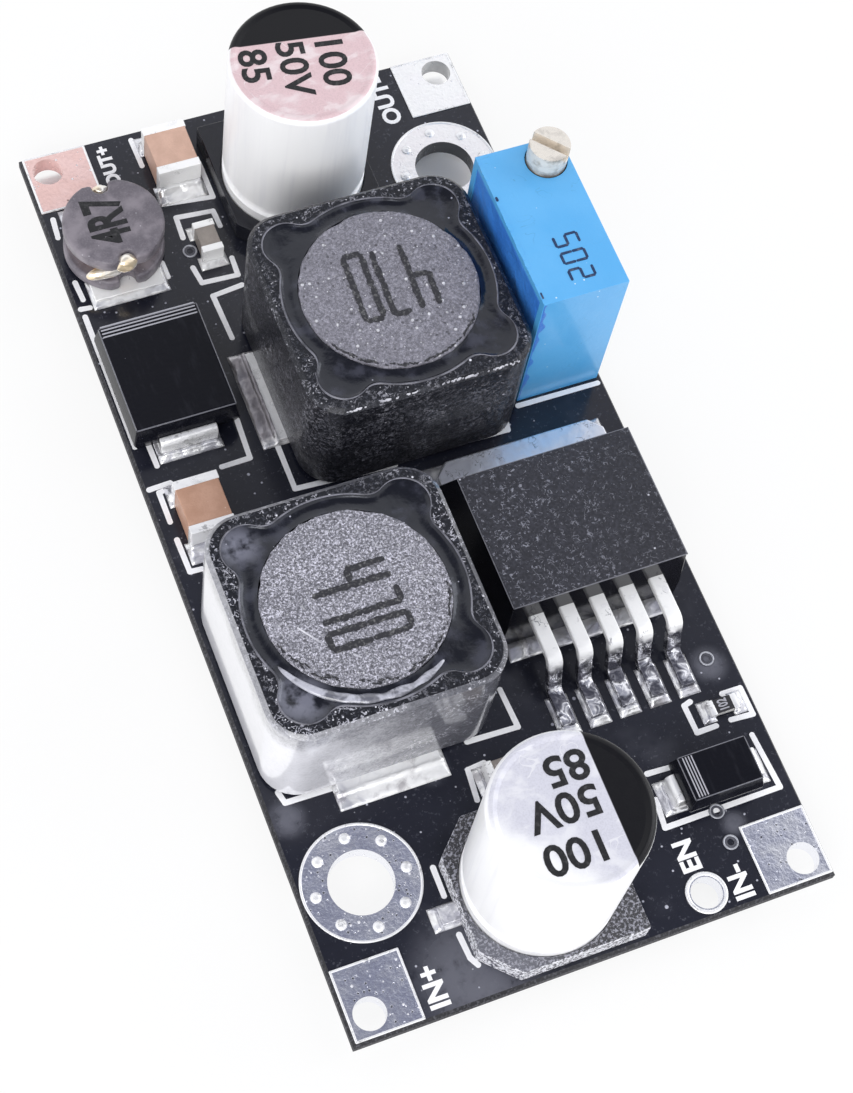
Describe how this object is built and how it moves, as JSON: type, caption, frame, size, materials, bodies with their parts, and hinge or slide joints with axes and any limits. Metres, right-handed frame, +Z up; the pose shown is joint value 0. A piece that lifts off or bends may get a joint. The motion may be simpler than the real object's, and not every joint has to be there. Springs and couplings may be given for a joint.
{
  "type": "buck-boost converter module",
  "caption": "Voltage converter board: shielded power coils, leaded controller, electrolytic capacitors, diodes and a screw trimmer on a black board with corner wire pads and mounting holes.",
  "frame": {"origin": "under the middle of the board, level with the ends of the trimmer's pins, on which the module stands", "axes": "+X across the board from the positive to the negative wire pads, +Y along the board towards the output end, +Z up"},
  "size_m": [0.0262, 0.0536, 0.0133],
  "materials": {
    "black_solder_mask": "black solder mask on glass epoxy, satin gloss",
    "tinned_copper": "hot-air levelled tin on copper, mottled",
    "solder": "bright reflowed solder",
    "can_aluminium": "drawn aluminium, satin",
    "can_base_plastic": "black moulded plastic, grainy",
    "copper_wire": "enamelled copper wire",
    "black_glue": "cured black epoxy glue",
    "shield_ferrite": "sintered ferrite, grainy",
    "core_ferrite": "ground sintered ferrite, grainy",
    "drum_ferrite": "sintered ferrite",
    "tab_metal": "tin-plated copper",
    "controller_epoxy": "moulded epoxy, fine grain",
    "diode_epoxy": "moulded epoxy, polished top",
    "trimmer_blue": "bright blue moulded plastic",
    "trimmer_potting": "blue potting compound",
    "brass": "turned brass",
    "seal_rubber": "black rubber",
    "wheel_nylon": "natural nylon",
    "white_ceramic": "white alumina",
    "resistor_coat": "black glaze",
    "tan_ceramic": "fired tan ceramic",
    "grey_ceramic": "fired grey-brown ceramic",
    "tinned_leads": "tin-plated metal"
  },
  "bodies": {
    "module": {"board": "black_solder_mask", "in_positive_pad": "tinned_copper", "in_negative_pad": "tinned_copper", "out_positive_pad": "tinned_copper", "out_negative_pad": "tinned_copper", "in_mount_ring": "tinned_copper", "out_mount_ring": "tinned_copper", "enable_pad": "tinned_copper", "vias": "black_solder_mask", "solder_lands": "tinned_copper", "solder_joints": "solder", "input_capacitor_can": "can_aluminium", "input_capacitor_base": "can_base_plastic", "input_capacitor_leads": "tinned_leads", "output_capacitor_can": "can_aluminium", "output_capacitor_base": "can_base_plastic", "output_capacitor_leads": "tinned_leads", "input_coil_shield": "shield_ferrite", "input_coil_core": "core_ferrite", "input_coil_winding": "copper_wire", "input_coil_glue": "black_glue", "input_coil_terminals": "tinned_leads", "output_coil_shield": "shield_ferrite", "output_coil_core": "core_ferrite", "output_coil_winding": "copper_wire", "output_coil_glue": "black_glue", "output_coil_terminals": "tinned_leads", "controller_body": "controller_epoxy", "controller_tab": "tab_metal", "controller_lead_1": "tinned_leads", "controller_lead_2": "tinned_leads", "controller_lead_3": "tinned_leads", "controller_lead_4": "tinned_leads", "controller_lead_5": "tinned_leads", "trimmer_case": "trimmer_blue", "trimmer_side_plate": "trimmer_potting", "trimmer_seal": "seal_rubber", "trimmer_element": "white_ceramic", "trimmer_pins": "tinned_leads", "rectifier_body": "diode_epoxy", "rectifier_cathode_lead": "tinned_leads", "rectifier_anode_lead": "tinned_leads", "input_diode_body": "diode_epoxy", "input_diode_cathode_lead": "tinned_leads", "input_diode_anode_lead": "tinned_leads", "filter_coil_core": "drum_ferrite", "filter_coil_winding": "copper_wire", "filter_coil_terminals": "tinned_leads", "bypass_capacitor_body": "tan_ceramic", "bypass_capacitor_ends": "tinned_leads", "coupling_capacitor_body": "tan_ceramic", "coupling_capacitor_ends": "tinned_leads", "chip_capacitor_bodies": "grey_ceramic", "chip_capacitor_ends": "tinned_leads", "enable_resistor_body": "white_ceramic", "enable_resistor_ends": "tinned_leads", "enable_resistor_coat": "resistor_coat"},
    "adjuster": {"trimmer_screw": "brass"},
    "wiper_rotor": {"trimmer_worm_wheel": "wheel_nylon", "trimmer_wiper": "brass"}
  },
  "joints": [
    {"name": "adjust_turn", "type": "hinge", "parent": "module", "child": "adjuster", "pos_m": [0.01152, 0.01188, 0.0018], "axis": [0, 0, 1], "continuous": true},
    {"name": "wiper_turn", "type": "hinge", "parent": "module", "child": "wiper_rotor", "pos_m": [0.01104, 0.00819, 0.00659], "axis": [1, 0, 0], "continuous": true}
  ],
  "couplings": [
    {"joint": "wiper_turn", "follows": "adjust_turn", "ratio": -0.03125}
  ]
}
